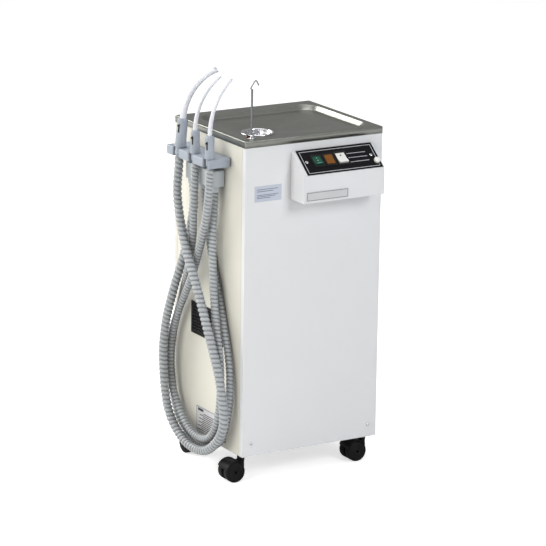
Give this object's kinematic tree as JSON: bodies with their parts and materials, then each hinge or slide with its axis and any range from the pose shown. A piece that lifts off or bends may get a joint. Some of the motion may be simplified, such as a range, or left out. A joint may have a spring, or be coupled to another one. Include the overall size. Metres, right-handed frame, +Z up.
{
  "type": "suction pump",
  "caption": "Mobile suction pump: steel cabinet on castors with a drained worktop, sloping control box, hose holder with bent suction tips, and the suction unit inside.",
  "frame": {"origin": "on the floor, below the middle of the whole unit's outline", "axes": "+X to the right along the front, +Y to the back, +Z up; the control box faces -Y and the hoses hang on -X"},
  "size_m": [0.444, 0.4198, 0.9559],
  "materials": {
    "panel_white": "satin enamel",
    "panel_cream": "satin enamel",
    "stainless": "brushed",
    "zinc_sheet": "zinc plated",
    "chrome_parts": "polished",
    "steel_rod": "drawn wire",
    "holder_grey": "fine grain",
    "manifold_grey": "fine grain",
    "black_plastic": "fine grain",
    "fascia_black": "semi-gloss",
    "castor_black": "fine grain",
    "hose_grey": "ribbed, satin",
    "tip_white": "translucent",
    "rocker_green": "gloss",
    "lens_amber": "translucent gloss",
    "switch_white": "gloss",
    "label_film": "satin film",
    "plate_metal": "anodised",
    "tank_plastic": "translucent",
    "grey_plastic": "moulded",
    "float_orange": "moulded",
    "cast_aluminium": "as cast",
    "motor_paint": "enamel",
    "pump_blue": "moulded",
    "board_green": "lacquered",
    "pipe_white": "moulded"
  },
  "bodies": {
    "cabinet": {"base_tray": "zinc_sheet", "corner_posts": "zinc_sheet", "shelf": "zinc_sheet", "left_side_panel": "panel_cream", "right_side_panel": "panel_cream", "front_panel": "panel_white", "back_panel": "panel_cream", "worktop": "stainless", "case_screws": "chrome_parts", "vent_grille": "black_plastic", "labels": "label_film", "drain_flange": "chrome_parts", "drain_pipe": "pipe_white", "rod_base": "chrome_parts", "control_box": "panel_white", "fascia_plate": "fascia_black", "name_plate": "plate_metal", "switch_bezels": "black_plastic", "indicator_lens": "lens_amber", "holder_rail": "holder_grey", "manifold_box": "manifold_grey", "manifold_sockets": "manifold_grey", "castor_sockets": "zinc_sheet", "separator_tank": "tank_plastic", "tank_lid": "grey_plastic", "blower_housing": "cast_aluminium", "blower_motor": "motor_paint", "drain_pump": "pump_blue", "control_board": "board_green", "exhaust_silencer": "black_plastic", "suction_pipes": "pipe_white", "mains_inlet": "black_plastic", "outlet_spigots": "grey_plastic", "hose_1": "hose_grey", "hose_2": "hose_grey", "hose_3": "hose_grey"},
    "strainer_body": {"strainer": "chrome_parts"},
    "hook_body": {"hook_rod": "steel_rod"},
    "power_switch": {"power_rocker": "rocker_green"},
    "mode_switch": {"mode_rocker": "switch_white"},
    "reset_switch": {"reset_button": "switch_white"},
    "float_body": {"tank_float": "float_orange"},
    "rotor_body": {"blower_rotor": "cast_aluminium"},
    "handpiece_1_body": {"handpiece_1": "holder_grey", "suction_tip_1": "tip_white"},
    "valve_1": {"valve_slider_1": "black_plastic"},
    "handpiece_2_body": {"handpiece_2": "holder_grey", "suction_tip_2": "tip_white"},
    "valve_2": {"valve_slider_2": "black_plastic"},
    "handpiece_3_body": {"handpiece_3": "holder_grey", "suction_tip_3": "tip_white"},
    "valve_3": {"valve_slider_3": "black_plastic"},
    "castor_front_left": {"castor_fork_front_left": "castor_black"},
    "wheels_front_left": {"castor_wheels_front_left": "castor_black"},
    "castor_front_right": {"castor_fork_front_right": "castor_black"},
    "wheels_front_right": {"castor_wheels_front_right": "castor_black"},
    "castor_rear_left": {"castor_fork_rear_left": "castor_black"},
    "wheels_rear_left": {"castor_wheels_rear_left": "castor_black"},
    "castor_rear_right": {"castor_fork_rear_right": "castor_black"},
    "wheels_rear_right": {"castor_wheels_rear_right": "castor_black"}
  },
  "joints": [
    {"name": "strainer_lift", "type": "slide", "parent": "cabinet", "child": "strainer_body", "axis": [0, 0, 1], "range_m": [0, 0.04]},
    {"name": "hook_swivel", "type": "hinge", "parent": "cabinet", "child": "hook_body", "pos_m": [-0.118, -0.1231, 0.82], "axis": [0, 0, 1], "continuous": true},
    {"name": "power_rocker_tilt", "type": "hinge", "parent": "cabinet", "child": "power_switch", "pos_m": [0.026, -0.17717, 0.7596], "axis": [1, 0, 0], "range_deg": [0, 16]},
    {"name": "mode_rocker_tilt", "type": "hinge", "parent": "cabinet", "child": "mode_switch", "pos_m": [0.091, -0.17717, 0.7596], "axis": [1, 0, 0], "range_deg": [0, 16]},
    {"name": "reset_button_press", "type": "slide", "parent": "cabinet", "child": "reset_switch", "axis": [0, 0.6231, -0.7822], "range_m": [0, 0.003]},
    {"name": "float_rise", "type": "slide", "parent": "cabinet", "child": "float_body", "axis": [0, 0, 1], "range_m": [0, 0.12]},
    {"name": "rotor_spin", "type": "hinge", "parent": "cabinet", "child": "rotor_body", "pos_m": [0.056, 0.0249, 0.102], "axis": [0, 0, 1], "continuous": true},
    {"name": "handpiece_1_lift", "type": "slide", "parent": "cabinet", "child": "handpiece_1_body", "axis": [0.0958, 0, 0.9954], "range_m": [0, 0.08]},
    {"name": "valve_1_slide", "type": "slide", "parent": "handpiece_1_body", "child": "valve_1", "axis": [-0.0958, 0, -0.9954], "range_m": [0, 0.012]},
    {"name": "handpiece_2_lift", "type": "slide", "parent": "cabinet", "child": "handpiece_2_body", "axis": [0, 0, 1], "range_m": [0, 0.08]},
    {"name": "valve_2_slide", "type": "slide", "parent": "handpiece_2_body", "child": "valve_2", "axis": [0, 0, -1], "range_m": [0, 0.012]},
    {"name": "handpiece_3_lift", "type": "slide", "parent": "cabinet", "child": "handpiece_3_body", "axis": [0, 0, 1], "range_m": [0, 0.08]},
    {"name": "valve_3_slide", "type": "slide", "parent": "handpiece_3_body", "child": "valve_3", "axis": [0, 0, -1], "range_m": [0, 0.012]},
    {"name": "castor_front_left_swivel", "type": "hinge", "parent": "cabinet", "child": "castor_front_left", "pos_m": [-0.132, -0.1151, 0.064], "axis": [0, 0, 1], "continuous": true},
    {"name": "castor_front_left_roll", "type": "hinge", "parent": "castor_front_left", "child": "wheels_front_left", "pos_m": [-0.157, -0.1151, 0.025], "axis": [0, 1, 0], "continuous": true},
    {"name": "castor_front_right_swivel", "type": "hinge", "parent": "cabinet", "child": "castor_front_right", "pos_m": [0.204, -0.1151, 0.064], "axis": [0, 0, 1], "continuous": true},
    {"name": "castor_front_right_roll", "type": "hinge", "parent": "castor_front_right", "child": "wheels_front_right", "pos_m": [0.179, -0.1151, 0.025], "axis": [0, 1, 0], "continuous": true},
    {"name": "castor_rear_left_swivel", "type": "hinge", "parent": "cabinet", "child": "castor_rear_left", "pos_m": [-0.132, 0.1449, 0.064], "axis": [0, 0, 1], "continuous": true},
    {"name": "castor_rear_left_roll", "type": "hinge", "parent": "castor_rear_left", "child": "wheels_rear_left", "pos_m": [-0.132, 0.1199, 0.025], "axis": [1, 0, 0], "continuous": true},
    {"name": "castor_rear_right_swivel", "type": "hinge", "parent": "cabinet", "child": "castor_rear_right", "pos_m": [0.204, 0.1449, 0.064], "axis": [0, 0, 1], "continuous": true},
    {"name": "castor_rear_right_roll", "type": "hinge", "parent": "castor_rear_right", "child": "wheels_rear_right", "pos_m": [0.179, 0.1449, 0.025], "axis": [0, 1, 0], "continuous": true}
  ]
}
